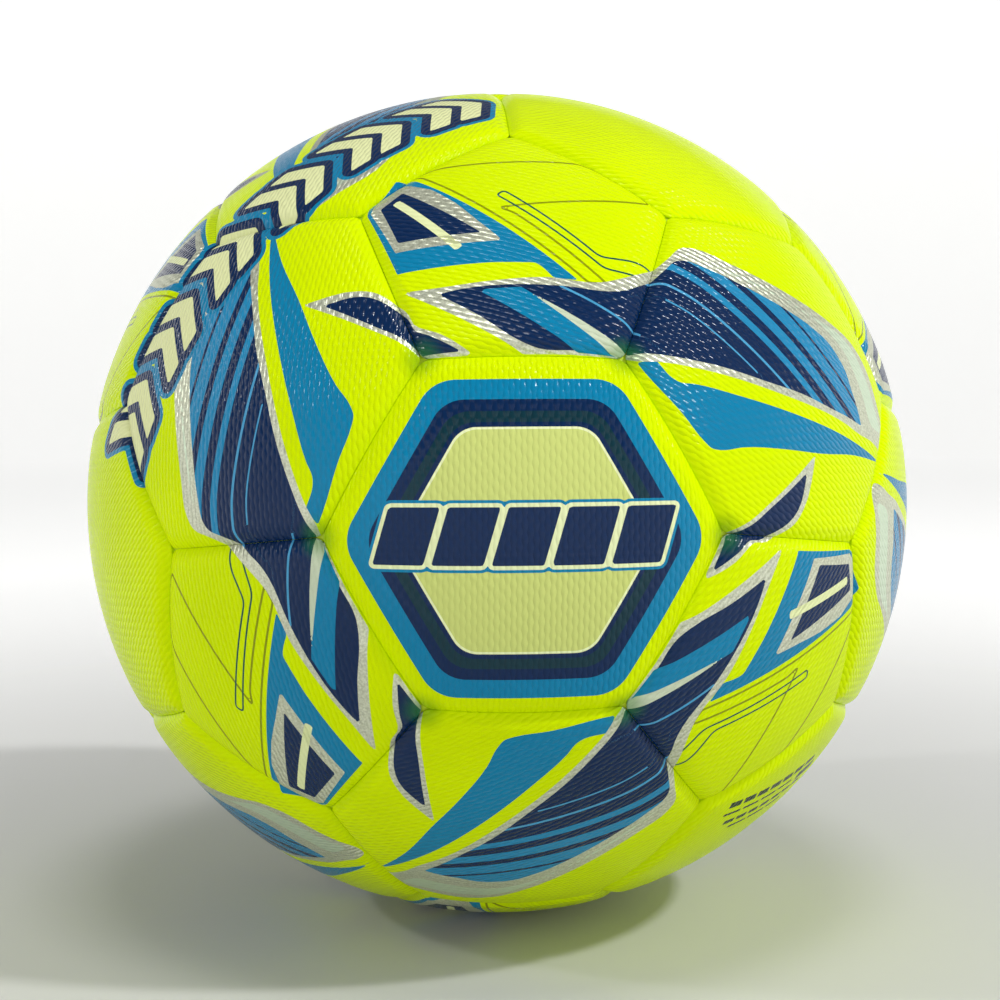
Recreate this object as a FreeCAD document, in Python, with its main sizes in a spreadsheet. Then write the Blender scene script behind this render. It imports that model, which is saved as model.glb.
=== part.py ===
"""Futsal ball of 32 bonded panels, as it comes apart on the bench.

The origin is the ball's centre, +Z is up, and the front badge hexagon faces -Y with a pentagon above it.
Every panel, pad and shell is modelled about its own local +Z, with the ball's centre as its origin,
and its Placement turns it to its place.
"""
import FreeCAD, Part
import math
import os
import Sketcher

SIZES = {
    "ball_circumference": 630.0,
    "cover_thickness": 1.1,
    "foam_thickness": 3.0,
    "seam_gap": 0.4,
    "panel_corner_radius": 3.0,
    "panel_edge_radius": 2.0,
    "bond_line": 0.12,
    "web_depth": 2.3,
    "web_height": 1.5,
    "carcass_thickness": 0.8,
    "winding_thickness": 0.45,
    "bladder_thickness": 0.8,
    "fleece_thickness": 4.0,
    "valve_recess": 0.9,
    "valve_stem_radius": 3.2,
    "valve_stem_inward": 15.0,
    "valve_flange_radius": 12.0,
    "valve_flange_thickness": 1.3,
    "valve_fit_clearance": 0.15,
    "plug_radius": 2.0,
    "plug_head_radius": 2.6,
    "plug_head_thickness": 0.8,
    "plug_length": 13.0,
    "plug_fit_clearance": 0.05,
    "needle_radius": 1.0,
    "slit_radius": 0.5,
}

GOLDEN = (1 + math.sqrt(5)) / 2
SEAM_MIDRADIUS = 1.5 * GOLDEN            # centre to the middle of a seam, in seam lengths
CAP_ANGLE = 27                           # degrees from the panel's centre, past every panel's corners
ORIGIN = FreeCAD.Vector(0, 0, 0)
UP = FreeCAD.Vector(0, 0, 1)
FRONT = FreeCAD.Vector(0, -1, 0)
VALVE_SIDE = FreeCAD.Vector(4, -2, -5)   # towards the plain hexagon below and to the right of the front one

RADIUS = "Sizes.ball_circumference / (2 * pi)"
SKIN_INSIDE = f"{RADIUS} - Sizes.cover_thickness"
PANEL_INSIDE = f"{SKIN_INSIDE} - Sizes.foam_thickness"
HALF_GAP = "Sizes.seam_gap / 2"
CARCASS_OUTSIDE = f"{PANEL_INSIDE} - Sizes.bond_line"
CARCASS_INSIDE = f"{CARCASS_OUTSIDE} - Sizes.carcass_thickness"
WINDING_OUTSIDE = f"{CARCASS_INSIDE} - Sizes.bond_line"
WINDING_INSIDE = f"{WINDING_OUTSIDE} - Sizes.winding_thickness"
BLADDER_OUTSIDE = f"{WINDING_INSIDE} - Sizes.bond_line"
BLADDER_INSIDE = f"{BLADDER_OUTSIDE} - Sizes.bladder_thickness"
FLANGE_OUTSIDE = f"{BLADDER_INSIDE} - Sizes.bond_line"
FLANGE_INSIDE = f"{FLANGE_OUTSIDE} - Sizes.valve_flange_thickness"
FLEECE_INSIDE = f"{FLANGE_OUTSIDE} - Sizes.fleece_thickness"
VALVE_HOLE = "Sizes.valve_stem_radius + Sizes.valve_fit_clearance"
FLANGE_HOLE = "Sizes.valve_flange_radius + Sizes.valve_fit_clearance"
STEM_TOP = f"{RADIUS} - Sizes.valve_recess"
STEM_BOTTOM = f"{FLANGE_INSIDE} - Sizes.valve_stem_inward"
HEAD_BOTTOM = f"{STEM_TOP} - Sizes.plug_head_thickness"
PLUG_BOTTOM = f"{STEM_TOP} - Sizes.plug_length"

doc = FreeCAD.newDocument("FutsalBall")


def driving_sizes():
    """The sheet of driving dimensions: one plain number a row, each with its alias."""
    sheet = doc.addObject("Spreadsheet::Sheet", "Sizes")
    for row, (alias, value) in enumerate(SIZES.items(), start=1):
        sheet.set(f"A{row}", alias)
        sheet.set(f"B{row}", str(value))
        sheet.setAlias(f"B{row}", alias)
    doc.recompute()
    return sheet


def unit(vector):
    return FreeCAD.Vector(vector).normalize()


def panel_directions():
    """Directions of the 12 pentagons and 20 hexagons from the centre, the front hexagon facing FRONT.

    The pentagons lie along the corners of an icosahedron and the hexagons along its face centres.
    """
    corners = []
    for small in (-1, 1):
        for large in (-GOLDEN, GOLDEN):
            corners += [(0, small, large), (small, large, 0), (large, 0, small)]
    corners = [FreeCAD.Vector(*corner) for corner in corners]
    faces = []
    for i, a in enumerate(corners):
        for j, b in enumerate(corners[:i]):
            for c in corners[:j]:
                if max((a - b).Length, (b - c).Length, (c - a).Length) < 2.1:
                    faces.append(a + b + c)
    face = unit(FreeCAD.Vector(1, 1, 1))
    corner = FreeCAD.Vector(0, 1, GOLDEN)
    upright = FreeCAD.Rotation(corner, ORIGIN, face, "ZXY")
    placed = FreeCAD.Rotation(UP, ORIGIN, FRONT, "ZXY")
    turn = placed.multiply(upright.inverted())

    def front_to_back(direction):
        return (round(direction.y, 6), -round(direction.z, 6), round(direction.x, 6))

    pentagons = sorted((turn.multVec(unit(corner)) for corner in corners), key=front_to_back)
    hexagons = sorted((turn.multVec(unit(face)) for face in faces), key=front_to_back)
    return pentagons, hexagons


def panel_turn(direction, neighbours):
    """Rotation of local +Z to the panel's direction and local +X towards its nearest neighbour."""
    nearest = max(neighbours, key=lambda other: round(direction.dot(other), 6))
    return FreeCAD.Placement(ORIGIN, FreeCAD.Rotation(nearest, ORIGIN, direction, "ZXY"))


def origin_plane(body, role):
    return next(feature for feature in body.Origin.OriginFeatures if feature.Role == role)


def upright_sketch(body, name, plane="XZ_Plane"):
    """A sketch on one of the body's upright planes, where the sketch's vertical axis is the body's +Z."""
    sketch = body.newObject("Sketcher::SketchObject", name)
    sketch.AttachmentSupport = [(origin_plane(body, plane), "")]
    sketch.MapMode = "FlatFace"
    return sketch


def size(sketch, name, constraint, expression):
    """Adds a named driving constraint and binds it to the sheet."""
    index = sketch.addConstraint(constraint)
    sketch.renameConstraint(index, name)
    sketch.setExpression(f"Constraints.{name}", expression)


def value_of(expression):
    """The number that an expression on the sheet gives."""
    return float(sheet.evalExpression(expression))


def finish_body(body, feature):
    """Makes the last feature the body's result."""
    body.Tip = feature
    doc.recompute()
    return body


def arc(radius, start, end):
    """An arc about the sketch's origin, between two angles in degrees."""
    circle = Part.Circle(ORIGIN, UP, radius)
    return Part.ArcOfCircle(circle, math.radians(start), math.radians(end))


def shell_profile(body, outside, inside, low, high=90, plane="XZ_Plane"):
    """Half section of a spherical shell between two angles, from its inside to its outside radius.

    The upper end lies on the vertical axis. The lower end is the other half of that axis, or a cone.
    """
    sketch = upright_sketch(body, f"{body.Label}_profile", plane)
    outer, inner = value_of(outside), value_of(inside)
    sketch.addGeometry([arc(outer, low, high), arc(inner, low, high)], False)
    ends = []
    for angle in (low, high):
        way = FreeCAD.Vector(math.cos(math.radians(angle)), math.sin(math.radians(angle)), 0)
        ends.append(sketch.addGeometry(Part.LineSegment(way * inner, way * outer), False))
    join = Sketcher.Constraint
    for ring, corner in ((0, 2), (1, 1)):
        sketch.addConstraint(join("Coincident", ring, 3, -1, 1))
        sketch.addConstraint(join("Coincident", ends[0], corner, ring, 1))
        sketch.addConstraint(join("Coincident", ends[1], corner, ring, 2))
        sketch.addConstraint(join("PointOnObject", ends[1], corner, -2))
    if low == -90:
        for corner in (1, 2):
            sketch.addConstraint(join("PointOnObject", ends[0], corner, -2))
    else:
        sketch.addConstraint(join("Angle", ends[0], 1, -1, 1, math.radians(-low)))
        sketch.addConstraint(join("PointOnObject", -1, 1, ends[0]))
    size(sketch, "outside", join("Radius", 0, outer), outside)
    size(sketch, "inside", join("Radius", 1, inner), inside)
    return sketch


def revolved(body, sketch, name):
    feature = body.newObject("PartDesign::Revolution", name)
    feature.Profile = sketch
    feature.ReferenceAxis = (sketch, ["V_Axis"])
    feature.Angle = 360
    return feature


def trim_side(body, cap, sides, inset):
    """Cuts one side of a panel along its seam plane, stood back by the inset, and repeats the cut."""
    side_angle = math.degrees(math.asin(0.5 / math.tan(math.pi / sides) / SEAM_MIDRADIUS))
    reach = 1.2 * value_of(RADIUS)
    lean = math.radians(side_angle)
    foot = FreeCAD.Vector(-value_of(inset) / math.cos(lean), 0, 0)
    top = FreeCAD.Vector(foot.x + reach * math.tan(lean), reach, 0)
    corners = [foot, top, FreeCAD.Vector(reach, reach, 0), FreeCAD.Vector(reach, 0, 0)]
    sketch = upright_sketch(body, f"{body.Label}_side")
    join = Sketcher.Constraint
    for corner, following in zip(corners, corners[1:] + corners[:1]):
        sketch.addGeometry(Part.LineSegment(corner, following), False)
    for line in range(4):
        sketch.addConstraint(join("Coincident", line, 2, (line + 1) % 4, 1))
    sketch.addConstraint(join("PointOnObject", 0, 1, -1))
    sketch.addConstraint(join("Horizontal", 1))
    sketch.addConstraint(join("Vertical", 2))
    sketch.addConstraint(join("Horizontal", 3))
    sketch.addConstraint(join("Angle", -1, 1, 0, 1, math.radians(90 - side_angle)))
    size(sketch, "stand_back", join("DistanceX", 0, 1, -1, 1, -foot.x), f"({inset}) / cos({side_angle} deg)")
    size(sketch, "height", join("DistanceY", -1, 1, 0, 2, reach), f"1.2 * {RADIUS}")
    size(sketch, "width", join("DistanceX", -1, 1, 2, 1, reach), f"1.2 * {RADIUS}")
    cut = body.newObject("PartDesign::Pocket", f"{body.Label}_trim")
    cut.Profile = sketch
    cut.Midplane = True
    cut.setExpression("Length", f"2.5 * {RADIUS}")
    around = body.newObject("PartDesign::PolarPattern", f"{body.Label}_sides")
    around.Originals = [cut]
    around.Axis = (sketch, ["V_Axis"])
    around.Angle = 360
    around.Occurrences = sides
    finish_body(body, around)
    if not around.Shape.Volume < cut.Shape.Volume < cap.Shape.Volume:
        raise RuntimeError(f"{body.Label}: a side cut removes nothing")
    return around


def rounded(body, base, name, radius, is_wanted):
    """Fillets the edges of the base feature that the test picks."""
    fillet = body.newObject("PartDesign::Fillet", name)
    fillet.Base = (base, [f"Edge{i}" for i, edge in enumerate(base.Shape.Edges, start=1) if is_wanted(edge)])
    fillet.setExpression("Radius", radius)
    finish_body(body, fillet)
    return fillet


def panel_blank(label, sides, outside, inside, inset, corner_radius, edge_radius=None):
    """A panel-shaped piece of a spherical shell, with rounded corners and, if asked, a rolled outer edge.

    The cap's own meridian edges lie in its profile's plane, and a fillet fails where one meets a corner,
    so a panel with an odd number of sides has its profile on the other upright plane.
    """
    body = doc.addObject("PartDesign::Body", label)
    plane = "YZ_Plane" if sides % 2 else "XZ_Plane"
    profile = shell_profile(body, outside, inside, 90 - CAP_ANGLE, plane=plane)
    cap = revolved(body, profile, f"{label}_cap")
    finish_body(body, cap)
    sides_cut = trim_side(body, cap, sides, inset)
    outer = value_of(outside)
    inner = value_of(inside)

    def runs_inwards(edge):
        ends = sorted(vertex.Point.Length for vertex in edge.Vertexes)
        return abs(ends[0] - inner) < 1e-3 and abs(ends[-1] - outer) < 1e-3

    corners = rounded(body, sides_cut, f"{label}_corners", corner_radius, runs_inwards)
    if edge_radius is None:
        return body
    rim_angle = 0.9 * math.asin(0.5 / math.tan(math.pi / sides) / SEAM_MIDRADIUS)

    def is_rim(edge):
        middle = edge.valueAt((edge.FirstParameter + edge.LastParameter) / 2)
        return abs(middle.Length - outer) < 1e-3 and middle.getAngle(UP) > rim_angle

    rounded(body, corners, f"{label}_rolled_edge", edge_radius, is_rim)
    return body


def cylinder(name, radius, low, high):
    """A cylinder about +Z between two heights."""
    feature = doc.addObject("Part::Cylinder", name)
    feature.setExpression("Radius", radius)
    feature.setExpression("Height", f"({high}) - ({low})")
    feature.setExpression("Placement.Base.z", low)
    return feature


def cut(label, base, tool, placement=None):
    feature = doc.addObject("Part::Cut", label)
    feature.Base = base
    feature.Tool = tool
    if placement:
        feature.Placement = placement
    return feature


def grouped(label, shape, placements):
    """One sub-part of like pieces: the same solid at each placement."""
    feature = doc.addObject("Part::Feature", label)
    copies = []
    for placement in placements:
        copy = shape.copy()
        copy.Placement = placement
        copies.append(copy)
    feature.Shape = Part.makeCompound(copies)
    return feature


def panels(kind, sides, placements, valve_at=None):
    """The covers, their foam pads, and the blank that both are cut from.

    A cover is the blank with its underside hollowed to a tray, and the pad fills the tray to its bond line.
    """
    inset = f"{HALF_GAP} + Sizes.cover_thickness"
    tray_corner = "Sizes.panel_corner_radius - Sizes.cover_thickness"
    blank = panel_blank(f"{kind}_blank", sides, RADIUS, PANEL_INSIDE, HALF_GAP,
                        "Sizes.panel_corner_radius", "Sizes.panel_edge_radius")
    hollow = panel_blank(f"{kind}_hollow", sides, SKIN_INSIDE, f"{PANEL_INSIDE} - 1", inset, tray_corner)
    pad = panel_blank(f"{kind}_pad", sides, f"{SKIN_INSIDE} - Sizes.bond_line", PANEL_INSIDE,
                      f"{inset} + Sizes.bond_line", f"{tray_corner} - Sizes.bond_line")
    cover = cut(f"{kind}_cover", blank, hollow)
    doc.recompute()
    parts = []
    plain_placements = []
    for number, placement in enumerate(placements, start=1):
        label = f"cover_{kind}_{number:02d}"
        if number - 1 == valve_at:
            hole = cylinder("valve_panel_hole", VALVE_HOLE, f"{PANEL_INSIDE} - 1", f"{RADIUS} + 1")
            parts.append(cut(label, cover, hole, placement))
            parts.append(cut("foam_pad_valve", pad, hole, placement))
        else:
            parts.append(cut(label, blank, hollow, placement))
            plain_placements.append(placement)
    parts.append(grouped(f"foam_pads_{kind}", pad.Shape, plain_placements))
    return parts, blank


def shell(label, outside, inside, placement, hole_radius):
    """A spherical shell with a hole for the valve."""
    body = doc.addObject("PartDesign::Body", f"{label}_shell")
    finish_body(body, revolved(body, shell_profile(body, outside, inside, -90), f"{label}_wall"))
    hole = cylinder(f"{label}_hole", hole_radius, f"({inside}) - 2", f"({outside}) + 1")
    return cut(label, body, hole, placement)


def seam_web(blanks_placed):
    """The adhesive left in the seams: a shell as high as the bond, less every panel."""
    top = f"{RADIUS} - Sizes.web_depth"
    body = doc.addObject("PartDesign::Body", "web_shell")
    profile = shell_profile(body, top, f"{top} - Sizes.web_height", -90)
    finish_body(body, revolved(body, profile, "web_wall"))
    return cut("seam_adhesive", body, blanks_placed)


def valve_body(placement):
    """A rubber stem on a dished flange, bored for the plug and pierced by a slit below it."""
    wall = doc.addObject("PartDesign::Body", "flange_shell")
    profile = shell_profile(wall, FLANGE_OUTSIDE, FLANGE_INSIDE, 90 - CAP_ANGLE)
    finish_body(wall, revolved(wall, profile, "flange_wall"))
    flange = doc.addObject("Part::Common", "flange")
    flange.Base = wall
    flange.Tool = cylinder("flange_outline", "Sizes.valve_flange_radius", STEM_BOTTOM, STEM_TOP)
    moulding = doc.addObject("Part::Fuse", "valve_moulding")
    moulding.Base = flange
    moulding.Tool = cylinder("stem", "Sizes.valve_stem_radius", STEM_BOTTOM, STEM_TOP)
    fit = "Sizes.plug_fit_clearance"
    seat = cylinder("plug_seat", f"Sizes.plug_radius + {fit}", f"{PLUG_BOTTOM} - {fit}", f"{STEM_TOP} + 1")
    rebate = cylinder("head_rebate", f"Sizes.plug_head_radius + {fit}", f"{HEAD_BOTTOM} - {fit}",
                      f"{STEM_TOP} + 1")
    slit = cylinder("slit", "Sizes.slit_radius", f"{STEM_BOTTOM} - 1", STEM_TOP)
    seated = cut("valve_moulding_seated", moulding, seat)
    rebated = cut("valve_moulding_rebated", seated, rebate)
    return cut("valve_body", rebated, slit, placement)


def valve_plug(placement):
    """The plug that seals round an inflating needle: a shank with a thin head, bored through."""
    solid = doc.addObject("Part::Fuse", "plug_solid")
    solid.Base = cylinder("plug_shank", "Sizes.plug_radius", PLUG_BOTTOM, STEM_TOP)
    solid.Tool = cylinder("plug_head", "Sizes.plug_head_radius", HEAD_BOTTOM, STEM_TOP)
    bore = cylinder("needle_bore", "Sizes.needle_radius", f"{PLUG_BOTTOM} - 1", f"{STEM_TOP} + 1")
    return cut("valve_plug", solid, bore, placement)


def check_document(parts):
    """Stops if any feature failed, or a sub-part has no sound solid."""
    for feature in doc.Objects:
        if "Invalid" in feature.State or "Error" in feature.State:
            raise RuntimeError(f"{feature.Name}: {feature.State}")
    for part in parts:
        if part.Shape.isNull() or not part.Shape.isValid() or not part.Shape.Solids:
            raise RuntimeError(f"{part.Label}: no sound solid")


def write_parts(parts):
    """Writes each sub-part to its own file and lists its size."""
    os.makedirs("parts", exist_ok=True)
    for part in parts:
        part.Shape.exportStep(f"parts/{part.Label}.step")
        print(f"{part.Label}: {len(part.Shape.Solids)} solid(s), {part.Shape.Volume:.0f} mm3")


sheet = driving_sizes()
pentagons, hexagons = panel_directions()
pentagon_turns = [panel_turn(direction, hexagons) for direction in pentagons]
hexagon_turns = [panel_turn(direction, pentagons) for direction in hexagons]
valve_panel = max(range(len(hexagons)), key=lambda number: hexagons[number].dot(VALVE_SIDE))
valve_turn = hexagon_turns[valve_panel]

pentagon_parts, pentagon_blank = panels("pentagon", 5, pentagon_turns)
hexagon_parts, hexagon_blank = panels("hexagon", 6, hexagon_turns, valve_panel)
panel_blanks = doc.addObject("Part::Compound", "panel_blanks")
panel_blanks.Links = [
    grouped("pentagon_blanks", pentagon_blank.Shape, pentagon_turns),
    grouped("hexagon_blanks", hexagon_blank.Shape, hexagon_turns),
]
sub_parts = pentagon_parts + hexagon_parts + [
    seam_web(panel_blanks),
    shell("carcass", CARCASS_OUTSIDE, CARCASS_INSIDE, valve_turn, VALVE_HOLE),
    shell("thread_winding", WINDING_OUTSIDE, WINDING_INSIDE, valve_turn, VALVE_HOLE),
    shell("bladder", BLADDER_OUTSIDE, BLADDER_INSIDE, valve_turn, VALVE_HOLE),
    shell("damping_fleece", FLANGE_OUTSIDE, FLEECE_INSIDE, valve_turn, FLANGE_HOLE),
    valve_body(valve_turn),
    valve_plug(valve_turn),
]
doc.recompute()
check_document(sub_parts)
write_parts(sub_parts)
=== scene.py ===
"""A futsal ball: 32 printed, foam-backed panels bonded over a wound carcass, built from the inside out."""

import math
import bpy
import numpy as np
from mathutils import Matrix, Vector


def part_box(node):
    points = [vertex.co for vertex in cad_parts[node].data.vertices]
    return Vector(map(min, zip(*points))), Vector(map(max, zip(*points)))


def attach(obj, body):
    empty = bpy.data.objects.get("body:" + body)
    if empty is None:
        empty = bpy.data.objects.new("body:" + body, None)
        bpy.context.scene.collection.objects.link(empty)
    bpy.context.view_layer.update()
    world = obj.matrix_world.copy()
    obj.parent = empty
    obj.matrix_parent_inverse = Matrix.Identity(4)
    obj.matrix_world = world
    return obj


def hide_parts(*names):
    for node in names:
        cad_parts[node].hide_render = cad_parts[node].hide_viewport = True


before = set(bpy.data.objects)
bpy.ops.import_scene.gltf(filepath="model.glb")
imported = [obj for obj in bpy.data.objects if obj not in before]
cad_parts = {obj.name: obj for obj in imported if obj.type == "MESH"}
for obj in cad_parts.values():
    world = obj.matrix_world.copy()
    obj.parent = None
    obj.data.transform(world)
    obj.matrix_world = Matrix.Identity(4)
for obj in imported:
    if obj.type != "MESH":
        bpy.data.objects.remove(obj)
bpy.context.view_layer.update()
MM = 0.001

# --- Damping fleece, bladder, thread winding and carcass -------------------------------------------
# The sealed layers under the panels: polyester fleece that deadens the bounce, a black butyl bladder,
# nylon thread wound over it, and the natural rubber carcass cured round the thread.


def linear(hex_colour, alpha=1.0):
    """An sRGB hex value as the linear colour that the shader takes."""
    parts = [int(hex_colour[i:i + 2], 16) / 255 for i in (1, 3, 5)]
    return tuple(c / 12.92 if c <= 0.04045 else ((c + 0.055) / 1.055) ** 2.4 for c in parts) + (alpha,)


def new_material(name):
    """An empty node material: its tree, its Principled shader and the material itself."""
    material = bpy.data.materials.new(name)
    material.use_nodes = True
    tree = material.node_tree
    return material, tree, tree.nodes["Principled BSDF"]


def add(tree, kind, inputs=(), **settings):
    """Adds a node, sets its properties, and fills its inputs with values or with other nodes' outputs."""
    node = tree.nodes.new("ShaderNode" + kind)
    for name, value in settings.items():
        setattr(node, name, value)
    for socket, value in dict(inputs).items():
        if isinstance(value, bpy.types.NodeSocket):
            tree.links.new(value, node.inputs[socket])
        else:
            node.inputs[socket].default_value = value
    return node


def dress(node_name, material):
    """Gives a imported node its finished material."""
    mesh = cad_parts[node_name].data
    mesh.materials.clear()
    mesh.materials.append(material)


def rubber(name, colour, roughness, grain_mm, depth_mm):
    """Moulded rubber: nearly matte, with a fine dusty grain that breaks up its highlight."""
    material, tree, shader = new_material(name)
    place = add(tree, "TexCoord").outputs["Object"]
    grain = add(tree, "TexNoise", {"Vector": place, "Scale": 1 / (grain_mm * MM), "Detail": 3})
    bloom = add(tree, "TexNoise", {"Vector": place, "Scale": 60, "Detail": 2})
    shade = add(tree, "ValToRGB", {"Fac": bloom.outputs["Fac"]})
    shade.color_ramp.elements[0].color = linear(colour)
    shade.color_ramp.elements[1].color = [min(1, c * 1.35 + 0.01) for c in linear(colour)[:3]] + [1]
    bump = add(tree, "Bump", {"Height": grain.outputs["Fac"], "Distance": depth_mm * MM, "Strength": 0.6})
    tree.links.new(shade.outputs["Color"], shader.inputs["Base Color"])
    tree.links.new(bump.outputs["Normal"], shader.inputs["Normal"])
    shader.inputs["Roughness"].default_value = roughness
    return material


def fibrous(name, colour, pitch_mm, depth_mm):
    """Spun or wound fibre: fine crossing bands as wide as one strand, matte, with a little sheen.

    The band texture repeats every pi / 10 over its scale.
    """
    material, tree, shader = new_material(name)
    place = add(tree, "TexCoord").outputs["Object"]
    bands = [
        add(tree, "TexWave", {"Vector": place, "Scale": math.pi / (10 * pitch_mm * MM), "Distortion": 4,
                              "Detail": 2, "Detail Scale": 1.5}, bands_direction=direction).outputs["Fac"]
        for direction in ("X", "DIAGONAL")
    ]
    crossed = add(tree, "Math", {0: bands[0], 1: bands[1]}, operation="MAXIMUM")
    shade = add(tree, "ValToRGB", {"Fac": crossed.outputs[0]})
    shade.color_ramp.elements[0].color = [c * 0.6 for c in linear(colour)[:3]] + [1]
    shade.color_ramp.elements[1].color = linear(colour)
    bump = add(tree, "Bump", {"Height": crossed.outputs[0], "Distance": depth_mm * MM})
    tree.links.new(shade.outputs["Color"], shader.inputs["Base Color"])
    tree.links.new(bump.outputs["Normal"], shader.inputs["Normal"])
    shader.inputs["Roughness"].default_value = 0.85
    shader.inputs["Sheen Weight"].default_value = 0.3
    return material


dress("damping_fleece", fibrous("polyester_fleece_needled", "#CFCBC0", 0.9, 0.4))
dress("bladder", rubber("butyl_rubber_moulded", "#141414", 0.5, 0.4, 0.02))
dress("thread_winding", fibrous("nylon_thread_wound", "#E6E4DE", 0.45, 0.2))
dress("carcass", rubber("natural_rubber_cured", "#B9A67F", 0.75, 0.6, 0.05))

# --- Foam pads -------------------------------------------------------------------------------------
# Closed-cell foam, die-cut to fit the tray of each panel and bonded between it and the carcass.


def closed_cell_foam():
    """Off-white foam with the cut bubbles of its cells, about 0.3 mm across, and no shine."""
    material, tree, shader = new_material("closed_cell_foam_die_cut")
    place = add(tree, "TexCoord").outputs["Object"]
    cells = add(tree, "TexVoronoi", {"Vector": place, "Scale": 1 / (0.3 * MM)})
    shade = add(tree, "ValToRGB", {"Fac": cells.outputs["Distance"]})
    shade.color_ramp.elements[0].color = linear("#C9C6BA")
    shade.color_ramp.elements[1].color = linear("#ECEADF")
    bump = add(tree, "Bump", {"Height": cells.outputs["Distance"], "Distance": 0.1 * MM})
    tree.links.new(shade.outputs["Color"], shader.inputs["Base Color"])
    tree.links.new(bump.outputs["Normal"], shader.inputs["Normal"])
    shader.inputs["Roughness"].default_value = 0.9
    return material


foam = closed_cell_foam()
for pads in ("foam_pads_pentagon", "foam_pads_hexagon", "foam_pad_valve"):
    dress(pads, foam)

# --- Seam adhesive ---------------------------------------------------------------------------------
# The line of polyurethane adhesive that the heated panels are pressed into. It shows at the bottom of
# each seam, tinted by the yellow print over it.

dress("seam_adhesive", rubber("polyurethane_adhesive_pressed", "#B8D000", 0.5, 0.8, 0.05))

# --- Valve -----------------------------------------------------------------------------------------
# A black rubber stem on a flange inside the bladder, and the replaceable plug pressed into it, whose
# small dished head sits just below the cover.

RADIUS = 630 / (2 * math.pi)                # the ball's radius in mm
VALVE_AXIS = np.array([1 / math.sqrt(3), -1 / 3, -math.sqrt(5) / 3])
STEM_TOP = RADIUS - 0.9
PLUG_LENGTH = 13.0
PLUG_RADIUS = 2.0
PLUG_HEAD_RADIUS = 2.6
PLUG_HEAD_THICKNESS = 0.8
NEEDLE_RADIUS = 1.0
PLUG_DISH = 0.25                            # how far the head dips to the needle's hole


def unit(vector):
    """The vector's direction, one long."""
    vector = np.asarray(vector, float)
    return vector / np.linalg.norm(vector)


def cross_axes(axis, towards):
    """Two unit vectors square to the axis: one as near as it can be to the given way, and the next round."""
    across = unit(np.asarray(towards, float) - np.dot(towards, axis) * axis)
    return across, np.cross(axis, across)


def quads(rows, columns, closed_rows=False):
    """Faces of a grid whose rows close on themselves, from one row to the next, and back if asked."""
    strips = rows if closed_rows else rows - 1
    row, column = np.meshgrid(np.arange(strips), np.arange(columns), indexing="ij")
    here, after = row * columns, (row + 1) % rows * columns
    beside = (column + 1) % columns
    return np.stack([here + column, after + column, after + beside, here + beside], -1).reshape(-1, 4)


def new_mesh(name, points_mm, faces, material):
    """A smooth mesh object from points in millimetres and faces given as lists of corners."""
    mesh = bpy.data.meshes.new(name)
    mesh.from_pydata((np.asarray(points_mm) * MM).tolist(), [], faces)
    mesh.shade_smooth()
    mesh.materials.append(material)
    piece = bpy.data.objects.new(name, mesh)
    bpy.context.scene.collection.objects.link(piece)
    return piece


def turned(name, profile, axis, material, steps=64):
    """A ring-shaped solid: a closed profile of (radius, height) points carried once round the axis."""
    profile = np.array(profile, float)
    across, beside = cross_axes(axis, (0, 0, 1))
    turn = np.linspace(0, 2 * np.pi, steps, endpoint=False)
    way = np.cos(turn)[:, None] * across + np.sin(turn)[:, None] * beside
    points = profile[:, None, :1] * way + profile[:, None, 1:] * axis
    return new_mesh(name, points.reshape(-1, 3), quads(len(profile), steps, True).tolist(), material)


def rounded(corners, pieces=4):
    """A closed outline from (x, y, cut) corners: each corner is cut back and bridged by a parabola.

    A cut of nought leaves the corner sharp. No cut takes more than 0.48 of the run beside it.
    """
    corners = np.array(corners, float)
    outline = []
    for index, (x, y, cut) in enumerate(corners):
        corner = np.array([x, y])
        if cut == 0:
            outline.append(corner)
            continue
        before, after = corners[index - 1, :2] - corner, corners[(index + 1) % len(corners), :2] - corner
        start = corner + before * min(0.48, cut / np.hypot(*before))
        end = corner + after * min(0.48, cut / np.hypot(*after))
        for t in np.linspace(0, 1, pieces + 1):
            outline.append((1 - t) ** 2 * start + 2 * t * (1 - t) * corner + t ** 2 * end)
    return np.array(outline)


valve_rubber = rubber("butyl_rubber_valve_moulded", "#17181A", 0.42, 0.3, 0.015)
dress("valve_body", valve_rubber)
plug_foot = STEM_TOP - PLUG_LENGTH
head_foot = STEM_TOP - PLUG_HEAD_THICKNESS
plug_profile = rounded([
    (NEEDLE_RADIUS, STEM_TOP - PLUG_DISH, 0.25), (NEEDLE_RADIUS, plug_foot, 0.2),
    (PLUG_RADIUS, plug_foot, 0.4), (PLUG_RADIUS, head_foot, 0),
    (PLUG_HEAD_RADIUS, head_foot, 0), (PLUG_HEAD_RADIUS, STEM_TOP, 0.3),
])
valve_plug = turned("valve_plug_dished", plug_profile, VALVE_AXIS, valve_rubber)
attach(valve_plug, "root")
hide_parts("valve_plug")

# --- Printed cover panels --------------------------------------------------------------------------
# Twelve pentagons and twenty hexagons of embossed polyurethane, heat-formed into shallow trays over
# their foam pads, so that each edge rolls down into a soft valley. The ink is printed before forming.

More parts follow.
